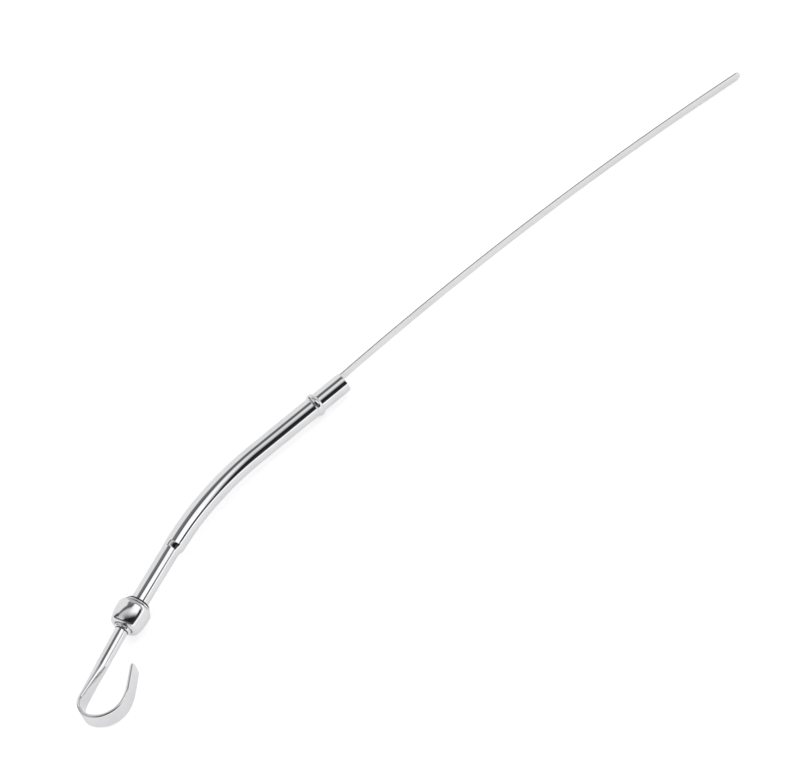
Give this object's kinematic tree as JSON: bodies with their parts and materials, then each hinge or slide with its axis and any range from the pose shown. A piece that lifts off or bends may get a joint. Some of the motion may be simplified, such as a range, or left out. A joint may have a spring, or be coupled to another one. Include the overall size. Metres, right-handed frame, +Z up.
{
  "type": "engine oil dipstick",
  "caption": "Engine oil dipstick seated in its bent guide tube: barrel cap with a rubber seal, flat hooked pull handle, stop bead, press-in block stub and a long flat blade.",
  "frame": {"origin": "middle of the bounding box's footprint, on the surface that the part lies on", "axes": "+X along the block stub towards the blade's tip, +Y out of the tube's bend, +Z up from the surface"},
  "size_m": [0.5792, 0.091, 0.0213],
  "materials": {
    "chrome_plate": "polished",
    "spring_steel": "satin",
    "seal_rubber": "matte"
  },
  "bodies": {
    "tube": {"guide_tube": "chrome_plate"},
    "dipstick": {"blade": "spring_steel", "handle": "chrome_plate", "cap": "chrome_plate", "cap_seal": "seal_rubber"}
  },
  "joints": [
    {"name": "dipstick_pull", "type": "slide", "parent": "tube", "child": "dipstick", "axis": [-0.9238, -0.3824, 0.0187], "range_m": [0, 0.013]}
  ]
}
